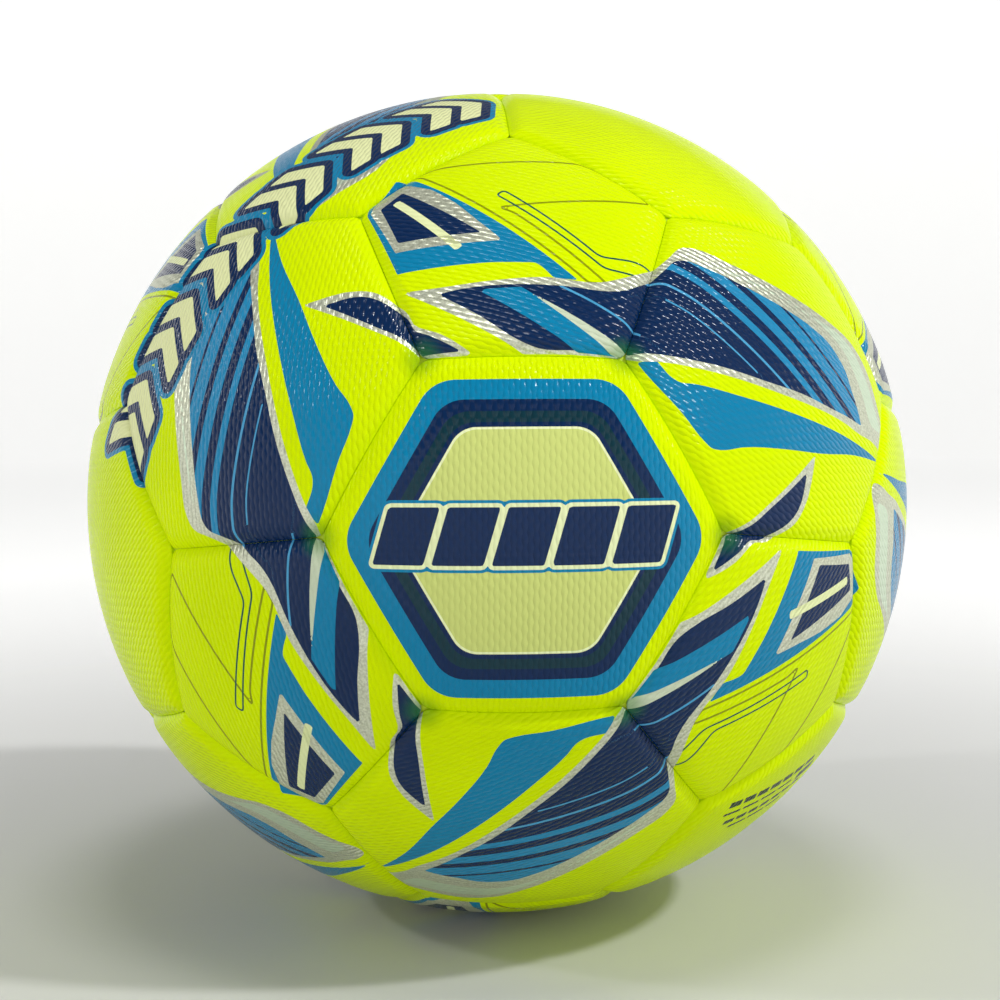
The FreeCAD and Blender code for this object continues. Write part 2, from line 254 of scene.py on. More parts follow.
FAR = -4.0                     # how far outside its own outline a print's depth is still worked out, in mm
SIDE_GAP = 0.04                # from the middle of a seam to the panel's pinched edge
WALL_STEP = 0.17               # how far the wall stands back below that edge, to leave room for adhesive
CORNER = 3.0                   # radius of a panel's corners, seen from outside
SKIN = 1.1                     # thickness of the cover
FOOT_DEPTH = 4.1               # how deep the tray's wall reaches, to stand on the carcass
TRAY_DEPTH = SKIN + 0.05       # the tray's inside, just over the foam pad
ROLL_WIDTH, ROLL_DEPTH = 3.8, 1.35
PILLOW_WIDTH, PILLOW_DEPTH = 11.0, 0.35
VALVE_HOLE = 3.35
VALVE_DIP, VALVE_DIP_WIDTH = 0.25, 0.6
LID = 0.35                     # radius of the flat lid that closes the middle of a panel
PER_SIDE = 66                  # points along each side
FIELD_START = 4.3              # where the even rings start, inside those of the roll
RING_STEP = 0.72

LOW, HIGH = math.sqrt((5 - 2 * math.sqrt(5)) / 15), math.sqrt((5 + 2 * math.sqrt(5)) / 15)
HEXAGON_SIDE = 0.5 * math.acos(math.sqrt(5) / 3)
PENTAGON_SIDE = math.acos(HIGH) - HEXAGON_SIDE


def ring_of_three(height, first):
    """Three directions at one height along Y, evenly round it, the first at the given angle."""
    turn = np.radians(first + 120 * np.arange(3))
    reach = math.sqrt(1 - height ** 2)
    return np.stack([reach * np.cos(turn), np.full(3, height), reach * np.sin(turn)], -1)


pentagons = np.vstack([
    ring_of_three(-HIGH, 90), ring_of_three(-LOW, 30), ring_of_three(LOW, 90), ring_of_three(HIGH, 30)])
joined = np.isclose(pentagons @ pentagons.T, 1 / math.sqrt(5))
hexagons = np.array([
    unit(pentagons[i] + pentagons[j] + pentagons[k])
    for i in range(12) for j in range(i) for k in range(j) if joined[i, j] and joined[j, k] and joined[i, k]
])


def turn_about(axis, angle):
    """The matrix that turns a point about an axis: the part along it stays, the rest goes round."""
    x, y, z = unit(axis)
    spin = np.array([[0, -z, y], [z, 0, -x], [-y, x, 0]])
    return np.eye(3) + math.sin(angle) * spin + (1 - math.cos(angle)) * spin @ spin


def nearest(directions, wanted):
    """Whichever of the directions is closest to the wanted one."""
    return directions[np.argmax(directions @ unit(wanted))]


BADGE = np.array([0.0, -1.0, 0.0])
NEXT_BADGE = nearest(hexagons, (-0.357, 0.333, -0.873))
turns = [np.eye(3)]
for made in turns:
    for axis in (BADGE, NEXT_BADGE):
        again = turn_about(axis, 2 * math.pi / 3) @ made
        if not any(np.allclose(again, other) for other in turns):
            turns.append(again)

EMBLEM_PENTAGON = nearest(pentagons, (0, -0.79, 0.61))
SWOOSH_HEXAGON = nearest(hexagons, (0.58, -0.75, 0.33))
SEAM_MIDDLE = unit(EMBLEM_PENTAGON * math.sin(HEXAGON_SIDE) + SWOOSH_HEXAGON * math.sin(PENTAGON_SIDE))
SEAM_RIGHT = cross_axes(SEAM_MIDDLE, SWOOSH_HEXAGON)[0]
SEAM_UP = np.cross(SEAM_MIDDLE, SEAM_RIGHT)


def polygon_reach(turn, sides, apothem, corner):
    """How far a rounded polygon reaches at each angle from the middle of one side.

    Along a side it is the apothem over the cosine of the angle. Past the flat it is the far side of
    the corner's circle, met by the ray at that angle.
    """
    half = math.pi / sides
    off_side = np.abs((turn + half) % (2 * half) - half)
    off_corner = half - off_side
    centre = (apothem - corner) / math.cos(half)
    bend = centre * np.cos(off_corner)
    bend = bend + np.sqrt(np.maximum(corner ** 2 - (centre * np.sin(off_corner)) ** 2, 0))
    flat_end = math.atan2((apothem - corner) * math.tan(half), apothem)
    return np.where(off_side > flat_end, bend, apothem / np.cos(off_side))


def panel_points(centre, side_way, sides, side_angle, hole=0.0):
    """A panel's grid of points in mm, one ring after another, from the outer skin round to the inner.

    A ring is the rounded polygon in the plane that touches the ball at the panel's centre, shrunk
    towards that centre (or the valve's hole), then thrown back on the ball and let down by a depth.
    The depth is a roll that steepens towards the edge, plus a slight pillow: both are powers of how
    much of their width is left. Below the roll come the wall, its foot, and the tray's inside.
    """
    apothem = RADIUS * math.tan(side_angle - SIDE_GAP / RADIUS)
    half = math.pi / sides
    along = (np.arange(PER_SIDE) + 0.5) / PER_SIDE * 2 - 1
    turn = half * (along + 0.3 * np.sin(math.pi * along) / math.pi)
    turn = (turn + 2 * half * np.arange(sides)[:, None]).ravel()
    reach = polygon_reach(turn, sides, apothem, CORNER)

    inner = max(hole, LID)
    edge = np.array([0, 0.2, 0.45, 0.75, 1.1, 1.5, 1.95, 2.45, 3.0, 3.6])
    rings = int((apothem - inner - FIELD_START) / RING_STEP)
    field = np.linspace(FIELD_START, apothem - inner, rings)
    inset = np.concatenate([field[::-1], edge[::-1]])
    depth = ROLL_DEPTH * np.clip(1 - inset / ROLL_WIDTH, 0, 1) ** 1.8
    depth = depth + PILLOW_DEPTH * np.clip(1 - inset / PILLOW_WIDTH, 0, 1) ** 2
    wall_inside = SKIN + WALL_STEP
    wall = np.array([
        (0, 1.9), (WALL_STEP, 2.2), (WALL_STEP, FOOT_DEPTH - 0.15), (WALL_STEP, FOOT_DEPTH),
        (0.3, FOOT_DEPTH), (wall_inside - 0.1, FOOT_DEPTH), (wall_inside, FOOT_DEPTH - 0.1),
        (wall_inside, 1.5), (wall_inside + 0.1, 1.25)])
    tray = np.linspace(2.8, apothem - inner, 5)
    inset = np.concatenate([inset, wall[:, 0], tray])
    depth = np.concatenate([depth, wall[:, 1], np.full(len(tray), TRAY_DEPTH)])
    if hole:
        depth = depth + VALVE_DIP * np.clip(1 - (apothem - hole - inset) / VALVE_DIP_WIDTH, 0, 1) ** 2

    share = ((apothem - inner - inset) / (apothem - inner))[:, None]
    away = (inner + (reach - inner) * share)[..., None]
    right, up = cross_axes(centre, side_way)
    way = np.cos(turn)[:, None] * right + np.sin(turn)[:, None] * up
    place = RADIUS * centre + away * way
    place = place / np.linalg.norm(place, axis=-1, keepdims=True)
    return place * (RADIUS - depth)[:, None, None]


def panel_faces(rings, around, hole):
    """Quads between the rings. A panel without the valve's hole has a many-sided lid at each end."""
    faces = quads(rings, around, bool(hole)).tolist()
    if not hole:
        faces.append(list(range(around)))
        faces.append(list(range(rings * around - 1, (rings - 1) * around - 1, -1)))
    return faces


def flat_map(directions, centre, right, up):
    """Lays the ball out flat round a centre, in mm: each point keeps its distance and its bearing."""
    across, above = directions @ right, directions @ up
    sine = np.hypot(across, above)
    scale = RADIUS * np.arctan2(sine, directions @ centre) / np.maximum(sine, 1e-9)
    return np.stack([across * scale, above * scale], -1)


def smooth_outline(*runs, pieces=4):
    """A closed outline in mm from runs of points. A run starts at a sharp corner and ends at the next.

    Between two points it is a cubic, whose slope at each is that of the stretches on its two sides,
    the shorter one counting for more. A run of one point is a straight line.
    """
    outline = []
    for index, run in enumerate(runs):
        points = np.array([*run, runs[(index + 1) % len(runs)][0]], float)
        step = np.diff(points, axis=0)
        length = np.hypot(*step.T)[:, None]
        slope = step / length
        middle = (slope[:-1] * length[1:] + slope[1:] * length[:-1]) / (length[:-1] + length[1:])
        slope = np.vstack([slope[:1], middle, slope[-1:]])
        count = pieces if len(run) > 1 else 1
        t = (np.arange(count) / count)[:, None, None]
        curve = (2 * t ** 3 - 3 * t ** 2 + 1) * points[:-1] + (3 * t ** 2 - 2 * t ** 3) * points[1:]
        curve = curve + (t ** 3 - 2 * t ** 2 + t) * slope[:-1] * length
        curve = curve + (t ** 3 - t ** 2) * slope[1:] * length
        outline.append(curve.transpose(1, 0, 2).reshape(-1, 2))
    return np.vstack(outline)


def inside_depth(points, outline):
    """How deep each point lies inside a closed outline, in mm: its distance, negative outside.

    A point is inside if a line from it crosses the outline an odd number of times.
    """
    depth = np.full(len(points), FAR)
    near = np.all((points > outline.min(0) + FAR) & (points < outline.max(0) - FAR), axis=1)
    start, along = outline, np.roll(outline, -1, axis=0) - outline
    from_start = points[near][:, None] - start
    share = np.clip((from_start * along).sum(-1) / (along ** 2).sum(-1), 0, 1)
    gap = np.linalg.norm(from_start - share[..., None] * along, axis=-1).min(1)
    level = (from_start[..., 1] < 0) != (from_start[..., 1] < along[:, 1])
    crossed = (from_start[..., 0] * along[:, 1] < from_start[..., 1] * along[:, 0]) == (along[:, 1] > 0)
    inside = (level & crossed).sum(1) % 2 == 1
    depth[near] = np.maximum(np.where(inside, gap, -gap), FAR)
    return depth


# The outlines of the print that runs over the seam between a pentagon and a hexagon, in mm from the
# middle of that seam, x towards the hexagon: the swoosh, the tailed emblem, a fin and two hairlines.
SWOOSH = {
    "silver": [
        smooth_outline(
            [(-47, -21), (-40, -18.5), (-30, -14), (-20, -9.8), (-10, -7), (-5, -3), (-2, 0), (0, 2.8),
             (2, 6.5), (4.2, 11), (6.5, 12.3), (15, 13.8), (30, 17), (46, 20.8), (52.5, 22), (59, 20.7),
             (66.5, 14.5), (71.5, 9), (72.6, 5.5)],
            [(72.5, 3.8), (66, 2), (61, -0.3), (55, -2), (35, -9), (15, -15.3), (6.5, -18.3), (2.5, -20)],
            [(0.5, -20.2), (-10, -23.8)],
            [(-19.5, -27.3), (-34, -24)]),
        smooth_outline(
            [(-58, 8.6), (-56, 8.7)], [(-31.2, -3.8)], [(-51.6, -11.5)], [(-60.7, -0.7), (-60.5, 4)]),
        smooth_outline(
            [(-67.8, -26), (-56, -21.8), (-53.5, -21.7), (-48, -23.2), (-44.5, -25.2), (-42.5, -27.3),
             (-36, -28.5)],
            [(-29.5, -30.3)], [(-30, -31)], [(-38.6, -34), (-42, -32.5), (-52, -30), (-62, -27.5)]),
    ],
    "inlay": [
        smooth_outline(
            [(6.5, 9.5), (20, 12.7), (40, 17.3), (50, 20.3), (54, 20), (60, 17), (66, 11.8), (70, 8.3)],
            [(69.3, 7.5), (65, 6), (60, 10), (55, 14), (50, 16.5), (45, 17), (35, 15.5), (20, 12)]),
    ],
    "navy": [
        smooth_outline(
            [(-39.8, -20), (-35, -17.4), (-24, -13), (-16, -10.5), (-7, -7.8), (-4, -5.8), (-2, -3.5),
             (0, -0.8), (2, 3.2), (3.7, 6.6), (5, 7.6), (10, 8.7), (20, 10.2), (30, 12), (40, 13.6),
             (45, 13.8), (48, 13), (52, 11), (55, 8), (58, 5.5)],
            [(61, 2.2), (55, 0), (50, -2), (40, -5.3), (30, -9), (20, -12), (10, -15.4), (5, -17.2)],
            [(0.5, -19.3), (-10, -23), (-17, -25.3), (-20.5, -25.3), (-30, -22.6)]),
        smooth_outline([(-55.5, 5.9)], [(-36, -2.9)], [(-51.8, -8.9)], [(-58.7, 0.4)]),
        smooth_outline(
            [(-63, -26), (-55, -23), (-48, -24.4), (-44, -26.4), (-42, -28.4), (-38, -29.3)],
            [(-31.3, -30.6)], [(-38.6, -33.4), (-42, -31.5), (-50, -29.5)]),
    ],
    "wing": [
        smooth_outline(
            [(2.5, -20.3)],
            [(6, -18.3), (7, -18.8), (10, -20.1), (12, -20.2), (15, -19), (25, -15.9), (40, -10.8),
             (55, -5.3), (65, -1.8)],
            [(72.5, 0.8), (70, -0.8), (60, -7), (50, -14), (40, -19.6), (30, -25.3), (25.5, -28.5),
             (23.5, -29.2), (21.5, -28.8), (15, -26), (5, -21.7)]),
        smooth_outline(
            [(-58.5, 10.8)], [(-56, 11.2)], [(-14.2, -8.2)],
            [(-18.8, -9.6), (-21, -8.2), (-23.3, -7.3), (-25.5, -7.9)], [(-49.5, -16.7)],
            [(-61.5, -1), (-62, 2), (-60, 6.5)]),
    ],
    "stripe": [smooth_outline([(-32.5, -17)], [(-24.3, -13.8)], [(-1.5, -20.6)], [(-9.5, -23.2)])],
    "wedge": [
        smooth_outline(
            [(-23, -14.3), (-10, -16.9)], [(0.6, -19.3)], [(0, -20.6)], [(-3, -20.8), (-12, -18)]),
    ],
    "mark": [rounded([(-55.5, 3.5, 0.5), (-38.5, -7.2, 0.5), (-39.5, -8.8, 0.5), (-56.5, 1.9, 0.5)])],
    "leaf": [
        rounded([
            (-55.4, 12.6, 0.8), (-50, 15, 3), (-19, 26.3, 4.5), (-8, 22.4, 3), (-4.6, 19.8, 1.4),
            (-29, 7.6, 3), (-34.4, 4.9, 1.3), (-31, 4.3, 1), (-8.5, -6.6, 0.5), (-12, -7.9, 0.5)]),
    ],
    "loop": [
        rounded([
            (0, 1.7, 0.2), (-5, 1.3, 1), (-11.5, -0.8, 1.5), (-34.6, 10.2, 0.8), (-35.8, 8.5, 0.8),
            (-10, -3.2, 1.5), (0, -1.2, 0.4)]),
    ],
}


def fan_height(points):
    """Height over the line that the fan of stripes starts from.

    That line falls off along a hyperbola, and curls down at the fan's root.
    """
    x = points[:, 0]
    fall = 0.115 * ((x - 9) + np.sqrt((x - 9) ** 2 + 16))
    curl = 0.06 * np.maximum(0, 4 - np.maximum(x, -5)) ** 2
    return points[:, 1] + fall + curl


def low_hairline(points):
    """Height over the thin line under the swoosh's waist, a parabola that leans down to the right."""
    x, y = points.T
    return y + 11.9 + 0.11 * (x + 8) + 0.004 * (x + 17) ** 2


OFF_LINE = 9.0                 # a height at which no line is drawn


def cut_line(height, x, start, end):
    """A line's height, but far off the line outside a stretch of x, so that nothing is drawn there."""
    return np.where((x > start) & (x < end), height, np.copysign(OFF_LINE, height))


# The blocks that stand in the badge, and the chevrons along the band over the top, all plain shapes.
BADGE_APOTHEM, BADGE_CORNER = 31.8, 8.0
BADGE_BLOCKS = [
    rounded([(x - 6.8, -4.6, 0.5), (x + 3.4, -4.6, 0.5), (x + 6.8, 6.8, 0.5), (x - 3.4, 6.8, 0.5)])
    for x in (-23.6, -11.9, -0.2, 11.5, 23.2)
]
CHEVRON_PAIR = 20.4
CHEVRONS = [
    rounded([(x, -9.6, 0.6), (x - 5.2, -9.6, 0.6), (x - 11, 0, 0.6), (x - 5.2, 9.6, 0.6), (x, 9.6, 0.6),
             (x - 5.8, 0, 0.6)])
    for pair in range(6) for x in (9.5 - CHEVRON_PAIR * pair, 1.8 - CHEVRON_PAIR * pair)
]
BAND_AXIS = unit((0.446, -0.847, -0.288))
BAND_START = cross_axes(BAND_AXIS, (-0.815, -0.533, 0.226))[0]
BAND_ANGLE = math.radians(89)


def band_map(directions):
    """Lays a band of the ball out straight, in mm along a circle about the band's axis and across it."""
    beside = np.cross(BAND_AXIS, BAND_START)
    round_axis = np.arctan2(directions @ beside, directions @ BAND_START)
    off = np.arccos(np.clip(directions @ BAND_AXIS, -1, 1)) - BAND_ANGLE
    return RADIUS * np.stack([round_axis, off], -1)


# The notice beside the valve, as plain rows of dashes: where a row starts and ends, how high it stands,
# how thick it is, and how far it is from one dash to the next. It leans, and its place is from the
# panel's middle.
NOTICE_ROWS = [(-17.6, 13.2, 0, 2.0, 4.4), (-18, 6, -3.4, 0.9, 6.0), (8, 15, -3.9, 3.0, 60),
               (-16, 12, -7.2, 1.6, 4.0), (-13, 6.5, -10.3, 1.0, 6.5)]
NOTICE_LEAN = math.radians(25)
NOTICE_PLACE = (-15.5, 19.5)
NOTICE_GAP = 0.8
OFF_NOTICE = 99.0              # a place that no row of the notice reaches


def print_layers(directions):
    """Every printed layer's depth at each point, by name. The print repeats in the twelve turns."""
    layers = {name: np.full(len(directions), FAR) for name in SWOOSH}
    layers["fan"] = np.full(len(directions), -30.0)
    layers["fine_low"] = np.full(len(directions), OFF_LINE)
    layers["fine_high"] = np.full(len(directions), OFF_LINE)
    for made in turns:
        points = flat_map(directions @ made, SEAM_MIDDLE, SEAM_RIGHT, SEAM_UP)
        for name, outlines in SWOOSH.items():
            for outline in outlines:
                layers[name] = np.maximum(layers[name], inside_depth(points, outline))
        swoosh = inside_depth(points, SWOOSH["navy"][0]) > -2.5
        x = points[swoosh, 0]
        height = fan_height(points[swoosh])
        layers["fan"][swoosh] = height
        layers["fine_low"][swoosh] = cut_line(low_hairline(points[swoosh]), x, -17.5, 1.5)
        layers["fine_high"][swoosh] = cut_line(height + 4.05, x, 3.5, 28)
    points = flat_map(directions, BADGE, np.array([1.0, 0, 0]), np.array([0, 0, 1.0])) + (0, 0.5)
    turn = np.arctan2(points[:, 1], points[:, 0]) + math.pi / 2
    share = np.hypot(*points.T) / polygon_reach(turn, 6, BADGE_APOTHEM, BADGE_CORNER)
    layers["badge"] = np.maximum(BADGE_APOTHEM * (1 - share), FAR)
    layers["blocks"] = deepest(points, BADGE_BLOCKS)
    return layers


def deepest(points, outlines):
    """The depth inside whichever outline holds each point deepest."""
    return np.max([inside_depth(points, outline) for outline in outlines], axis=0)


def badge_corner_distance(directions):
    """How far each point is from the nearest corner of a hexagon that carries a badge, in mm."""
    around = [p for p in pentagons if p @ BADGE > 0.7]
    corners = np.array([unit(2 * p + q) for p in around for q in around if p is not q])
    corners = np.concatenate([corners @ made.T for made in turns])
    return RADIUS * np.arccos(np.clip((directions @ corners.T).max(1), -1, 1))


DOME_WIDTH, DOME_LENGTH = 1.1, 2.94          # from one column of the emboss to the next, and along a column


def printed_polyurethane():
    """The printed cover: glossy embossed polyurethane with fluorescent and metallic screen inks.

    The fluorescent yellow is flat and very bright, with hardly any shine. The dark inks are glossy, so
    the emboss breaks their highlights into slanted dashes. The silver ink glitters like fine metal.
    """
    material, tree, shader = new_material("polyurethane_embossed_screen_printed")

    def stencil(layer, edge):
        """One where a printed layer is deeper than its edge, nought elsewhere."""
        depth = add(tree, "Attribute", attribute_name=layer).outputs["Fac"]
        return add(tree, "Math", {0: depth, 1: edge}, operation="GREATER_THAN").outputs[0]

    def line(layer, half_width):
        """One within half a line's width of where a layer's depth is nought."""
        depth = add(tree, "Attribute", attribute_name=layer).outputs["Fac"]
        return add(tree, "Math", {0: depth, 1: 0.0, 2: half_width}, operation="COMPARE").outputs[0]

    def ink(under, mask, over):
        """One ink, or a mix of them, printed on what is already there."""
        over = linear(over) if isinstance(over, str) else over
        return add(tree, "Mix", {0: mask, 6: under, 7: over}, data_type="RGBA").outputs[2]

    def steps(layer, low, high, colours):
        """A colour for each stretch of a layer's depth: (where it starts, its colour), from the lowest."""
        depth = add(tree, "Attribute", attribute_name=layer).outputs["Fac"]
        spread = add(tree, "MapRange", {0: depth, 1: low, 2: high})
        ramp = add(tree, "ValToRGB", {0: spread.outputs[0]})
        ramp.color_ramp.interpolation = "CONSTANT"
        stops = ramp.color_ramp.elements
        stops.remove(stops[1])
        stops[0].color = linear(colours[0][1])
        for start, colour in colours[1:]:
            stops.new((start - low) / (high - low)).color = linear(colour)
        return ramp.outputs[0]

    def mottled(scatter, dark, light):
        """An ink that is a little darker in places, where its film is thinner."""
        ramp = add(tree, "ValToRGB", {0: scatter.outputs[0]})
        ramp.color_ramp.elements[0].position, ramp.color_ramp.elements[1].position = 0.3, 0.7
        ramp.color_ramp.elements[0].color, ramp.color_ramp.elements[1].color = linear(dark), linear(light)
        return ramp.outputs[0]

    blue, navy, cream = "#0580AC", "#042650", "#CFDA7E"
    hair_blue, stripe_blue = "#4C9FCC", "#2389B8"
    place = add(tree, "TexCoord").outputs["Object"]
    cloud = add(tree, "TexNoise", {"Vector": place, "Scale": 35, "Detail": 3})
    flakes = add(tree, "TexNoise", {"Vector": place, "Scale": 1 / (0.45 * MM), "Detail": 1})

    silver_mask = stencil("silver", 0)
    navy_mask = stencil("navy", 0)
    badge_mask = stencil("badge", 0)
    band_mask = stencil("band", -3.2)
    colour = ink(mottled(cloud, "#D4EE00", "#DCF600"), line("leaf", 0.26), "#8E9A00")
    colour = ink(colour, line("loop", 0.22), "#00574A")
    colour = ink(colour, stencil("wing", 0), blue)
    colour = ink(colour, silver_mask, mottled(flakes, "#BCC0A8", "#DEE2CC"))
    colour = ink(colour, stencil("inlay", 0), "#D6E6CC")
    colour = ink(colour, navy_mask, steps("fan", -20, 20, [
        (-20, navy), (-0.7, hair_blue), (0.0, navy), (3.7, stripe_blue), (5.6, navy), (8.1, stripe_blue),
        (10.9, navy), (12.8, stripe_blue), (16.5, navy), (17.2, stripe_blue)]))
    fine = add(tree, "Math", {0: line("fine_low", 0.25), 1: line("fine_high", 0.2)}, operation="MAXIMUM")
    fine = add(tree, "Math", {0: fine.outputs[0], 1: navy_mask}, operation="MULTIPLY")
    colour = ink(colour, fine.outputs[0], hair_blue)
    colour = ink(colour, stencil("stripe", 0), blue)
    colour = ink(colour, stencil("wedge", 0), "#CCD8BC")
    colour = ink(colour, stencil("mark", 0), "#E6EEB4")

    # A mist of ink that was blown on round the corners of each badge, where it turns the navy green.
    off_corner = add(tree, "Attribute", attribute_name="corner").outputs["Fac"]
    fade = {0: off_corner, 1: 5.5, 2: 0.8, 3: 0.0, 4: 0.5}
    mist = add(tree, "MapRange", fade, interpolation_type="SMOOTHSTEP")
    colour = ink(colour, mist.outputs[0], "#2C8410")

    colour = ink(colour, badge_mask, steps("badge", -5, 35, [
        (-5, blue), (4.0, navy), (6.4, "#0B3440"), (8.5, navy), (9.4, "#EEF6C0"), (9.85, cream)]))
    colour = ink(colour, stencil("blocks", -1.35), steps("blocks", -4, 8, [
        (-4, blue), (-0.8, "#E9F2BC"), (0, navy)]))
    colour = ink(colour, band_mask, steps("band", -4, 8, [(-4, blue), (-2.1, navy), (0, "#E6EBB0")]))

    notice_along = add(tree, "Attribute", attribute_name="notice_along").outputs["Fac"]
    notice_across = add(tree, "Attribute", attribute_name="notice_across").outputs["Fac"]
    for start, end, row, thickness, pitch in NOTICE_ROWS:
        run = {0: notice_along, 1: (start + end) / 2, 2: (end - start) / 2}
        in_run = add(tree, "Math", run, operation="COMPARE")
        in_row = add(tree, "Math", {0: notice_across, 1: row, 2: thickness / 2}, operation="COMPARE")
        from_gap = add(tree, "Math", {0: notice_along, 1: pitch / 2}, operation="PINGPONG")
        in_dash = add(tree, "Math", {0: from_gap.outputs[0], 1: NOTICE_GAP / 2}, operation="GREATER_THAN")
        dashes = add(tree, "Math", {0: in_run.outputs[0], 1: in_row.outputs[0]}, operation="MULTIPLY")
        dashes = add(tree, "Math", {0: dashes.outputs[0], 1: in_dash.outputs[0]}, operation="MULTIPLY")
        colour = ink(colour, dashes.outputs[0], "#1A3A12")

    metal = add(tree, "Math", {0: silver_mask, 1: 0.6}, operation="MULTIPLY")
    for over_it in (navy_mask, badge_mask, band_mask):
        metal = add(tree, "Math", {0: metal.outputs[0], 1: over_it}, operation="SUBTRACT", use_clamp=True)
    brightness = add(tree, "RGBToBW", {0: colour})
    gloss = add(tree, "MapRange", {0: brightness.outputs[0], 1: 0.1, 2: 0.6, 3: 0.22, 4: 0.03})
    rough = add(tree, "MapRange", {0: flakes.outputs[0], 3: 0.1, 4: 0.22})
    rough = add(tree, "Math", {0: metal.outputs[0], 1: 0.3, 2: rough.outputs[0]}, operation="MULTIPLY_ADD")

    # The emboss: lens-shaped domes in staggered columns, parted by wavy creases. A crease runs where the
    # sine across is a share of the cosine along.
    emboss = add(tree, "UVMap", uv_map="emboss_mm").outputs[0]
    scale = (math.pi / DOME_WIDTH, 2 * math.pi / DOME_LENGTH, 1)
    emboss = add(tree, "Mapping", {"Vector": emboss, "Scale": scale})
    lattice = add(tree, "SeparateXYZ", {0: emboss.outputs[0]})
    across = add(tree, "Math", {0: lattice.outputs[0]}, operation="SINE")
    along = add(tree, "Math", {0: lattice.outputs[1]}, operation="COSINE")
    wavy = add(tree, "Math", {0: along.outputs[0], 1: -0.38, 2: across.outputs[0]}, operation="MULTIPLY_ADD")
    domes = add(tree, "Math", {0: wavy.outputs[0]}, operation="ABSOLUTE")
    uneven = add(tree, "TexNoise", {"Vector": place, "Scale": 1 / (1.2 * MM), "Detail": 2})
    height = add(tree, "Math", {0: uneven.outputs[0], 1: 0.5, 2: domes.outputs[0]}, operation="MULTIPLY_ADD")
    bump = add(tree, "Bump", {"Height": height.outputs[0], "Distance": 0.135 * MM, "Strength": 1.0})

    tree.links.new(colour, shader.inputs["Base Color"])
    tree.links.new(metal.outputs[0], shader.inputs["Metallic"])
    tree.links.new(gloss.outputs[0], shader.inputs["Specular IOR Level"])
    tree.links.new(rough.outputs[0], shader.inputs["Roughness"])
    tree.links.new(bump.outputs[0], shader.inputs["Normal"])
    return material


def make_panel(name, points, faces, layers, emboss, material):
    """One panel's mesh, its printed layers on its vertices and its emboss lattice as a UV map in mm."""
    panel = new_mesh(name, points, faces, material)
    for layer, depth in layers.items():
        values = panel.data.attributes.new(layer, "FLOAT", "POINT")
        values.data.foreach_set("value", depth.astype(np.float32))
    corner = np.empty(len(panel.data.loops), np.int32)
    panel.data.loops.foreach_get("vertex_index", corner)
    lattice = panel.data.uv_layers.new(name="emboss_mm")
    lattice.uv.foreach_set("vector", emboss[corner].astype(np.float32).ravel())
    return panel


# The five panels that every other one copies, each with the print worked out once: its centre, points,
# faces, printed layers and emboss lattice.
cover = printed_polyurethane()
PLAIN = -BADGE
kinds = {}
for kind, centre, side_way, sides, side_angle, hole in (
    ("emblem", EMBLEM_PENTAGON, SWOOSH_HEXAGON, 5, PENTAGON_SIDE, 0),
    ("swoosh", SWOOSH_HEXAGON, EMBLEM_PENTAGON, 6, HEXAGON_SIDE, 0),
    ("badge", BADGE, EMBLEM_PENTAGON, 6, HEXAGON_SIDE, 0),
    ("plain", PLAIN, nearest(pentagons, PLAIN), 6, HEXAGON_SIDE, 0),
    ("valve", VALVE_AXIS, nearest(pentagons, VALVE_AXIS), 6, HEXAGON_SIDE, VALVE_HOLE),
):
    grid = panel_points(centre, side_way, sides, side_angle, hole)
    points = grid.reshape(-1, 3)
    directions = points / np.linalg.norm(points, axis=1, keepdims=True)
    layers = print_layers(directions)
    layers["corner"] = badge_corner_distance(directions)
    layers["notice_along"], layers["notice_across"] = np.full((2, len(points)), OFF_NOTICE)
    up = SEAM_RIGHT if kind in ("emblem", "swoosh") else np.array([0, 0, 1.0])
    up = cross_axes(centre, up)[0]
    local = flat_map(directions, centre, np.cross(up, centre), up)
    if kind == "valve":
        across, above = (local - NOTICE_PLACE).T
        layers["notice_along"] = across * math.cos(NOTICE_LEAN) + above * math.sin(NOTICE_LEAN)
        layers["notice_across"] = above * math.cos(NOTICE_LEAN) - across * math.sin(NOTICE_LEAN)
    kinds[kind] = (centre, points, panel_faces(len(grid), grid.shape[1], hole), layers, local)

for name in [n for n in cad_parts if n.startswith("cover_")]:
    low, high = (np.array(corner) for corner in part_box(name))
    centre = nearest(pentagons if "pentagon" in name else hexagons, low + high)
    if np.allclose(centre, VALVE_AXIS):
        kind, made = "valve", np.eye(3)
    else:
        copies = ((kind, made) for kind in ("emblem", "swoosh", "badge", "plain") for made in turns)
        kind, made = next(copy for copy in copies if np.allclose(copy[1] @ kinds[copy[0]][0], centre))
    _, points, faces, layers, emboss = kinds[kind]
    points = points @ made.T
    directions = points / np.linalg.norm(points, axis=1, keepdims=True)
    layers = {**layers, "band": deepest(band_map(directions), CHEVRONS)}
    panel = make_panel(name.replace("cover", "panel"), points, faces, layers, emboss, cover)
    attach(panel, "root")
    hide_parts(name)

# --- Floor, light and camera -----------------------------------------------------------------------
# A round white studio sweep under the ball, a faint light all round it, and three lamps: a small bright
# one over the ball's right shoulder, a broad one above, and a small weak one at its left.

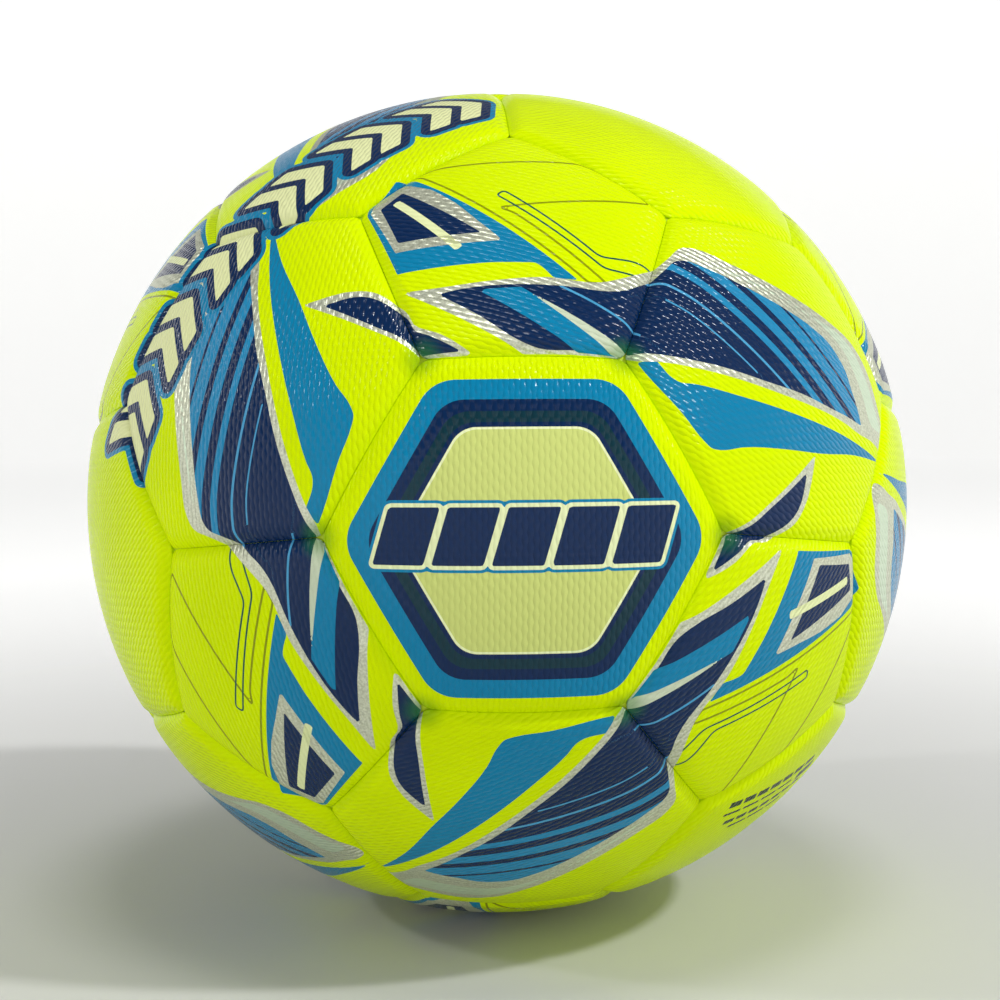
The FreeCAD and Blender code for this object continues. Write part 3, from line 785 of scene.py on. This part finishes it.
FLOOR_RADIUS, BEND_RADIUS, WALL_HEIGHT = 2600, 900, 1450
SWEEP_STEPS = 96
FLOOR_GAP = 0.02               # under the ball's lowest point
turn = np.linspace(0, 2 * np.pi, SWEEP_STEPS, endpoint=False)
rise = np.linspace(0, math.pi / 2, 12)
bend = np.stack([FLOOR_RADIUS + BEND_RADIUS * np.sin(rise), BEND_RADIUS - BEND_RADIUS * np.cos(rise)], -1)
wall_top = (FLOOR_RADIUS + BEND_RADIUS, WALL_HEIGHT)
sweep = np.concatenate([[(1, 0), (400, 0), (FLOOR_RADIUS, 0)], bend, [wall_top]])
height = np.repeat(sweep[:, 1:], SWEEP_STEPS, 1) - RADIUS - FLOOR_GAP
sweep_points = np.stack([sweep[:, :1] * np.cos(turn), sweep[:, :1] * np.sin(turn), height], -1)

# The floor's colour is greyer near the ball, a painted shadow round its foot, and the floor glows further
# out, as under the lamps of a light table.
plaster, tree, shader = new_material("painted_plaster_rolled")
shader.inputs["Roughness"].default_value = 0.9
shader.inputs["Emission Color"].default_value = linear("#FFFFFF")
off_centre = add(tree, "VectorMath", {0: add(tree, "TexCoord").outputs["Object"]}, operation="LENGTH")
glow = add(tree, "MapRange", {0: off_centre.outputs[1], 1: 0.14, 2: 0.8, 3: 0.0, 4: 0.42})
tree.links.new(glow.outputs[0], shader.inputs["Emission Strength"])
# Painted shadow: the floor's colour fades from grey under the ball to white from about 0.6 m out.
out_of_painted_shadow = add(tree, "MapRange", {0: off_centre.outputs[1], 1: 0.12, 2: 0.6}, interpolation_type="SMOOTHSTEP")
paint = add(tree, "Mix", {0: out_of_painted_shadow.outputs[0], 6: linear("#D4D4D2"), 7: linear("#F4F4F2")}, data_type="RGBA")
tree.links.new(paint.outputs[2], shader.inputs["Base Color"])
floor_faces = quads(len(sweep), SWEEP_STEPS).tolist() + [list(range(SWEEP_STEPS))]
floor = new_mesh("studio_floor", sweep_points.reshape(-1, 3), floor_faces, plaster)

world = bpy.data.worlds.new("studio")
bpy.context.scene.world = world
world.use_nodes = True
world.node_tree.nodes["Background"].inputs["Color"].default_value = linear("#FFFFFF")
world.node_tree.nodes["Background"].inputs["Strength"].default_value = 0.22


def lamp(name, place, size, power):
    """A square lamp that faces the ball: its place and size in metres, its power in watts."""
    light = bpy.data.lights.new(name, "AREA")
    light.size, light.energy = size, power
    holder = bpy.data.objects.new(name, light)
    holder.location = place
    holder.rotation_euler = Vector(place).to_track_quat("Z", "Y").to_euler()
    bpy.context.scene.collection.objects.link(holder)


lamp("key_softbox", (1.1, -0.65, 1.2), 0.11, 13.5)
lamp("top_softbox", (0.1, -0.5, 1.8), 0.5, 8.5)
lamp("left_softbox", (-1.45, -0.3, 0.95), 0.1, 4)

# How the ball stands to the camera: nodded, rolled and turned by small angles.
TILT = turn_about((1, 0, 0), math.radians(4.10)) @ turn_about((0, 1, 0), math.radians(-0.27))
TILT = TILT @ turn_about((0, 0, 1), math.radians(3.36))
DISTANCE = 4.155 * RADIUS
camera = bpy.data.objects.new("camera", bpy.data.cameras.new("camera"))
bpy.context.scene.collection.objects.link(camera)
camera.location = (TILT.T @ (0, -DISTANCE, 0)) * MM
right, forward, up = TILT
camera.rotation_euler = Matrix(np.stack([right, up, -forward], 1).tolist()).to_euler()
camera.data.lens = 59.5
camera.data.sensor_width = 36
camera.data.shift_x, camera.data.shift_y = 0.0029, 0.0025
camera.data.clip_start = 0.01
bpy.context.scene.camera = camera
bpy.context.scene.view_settings.view_transform = "Standard"
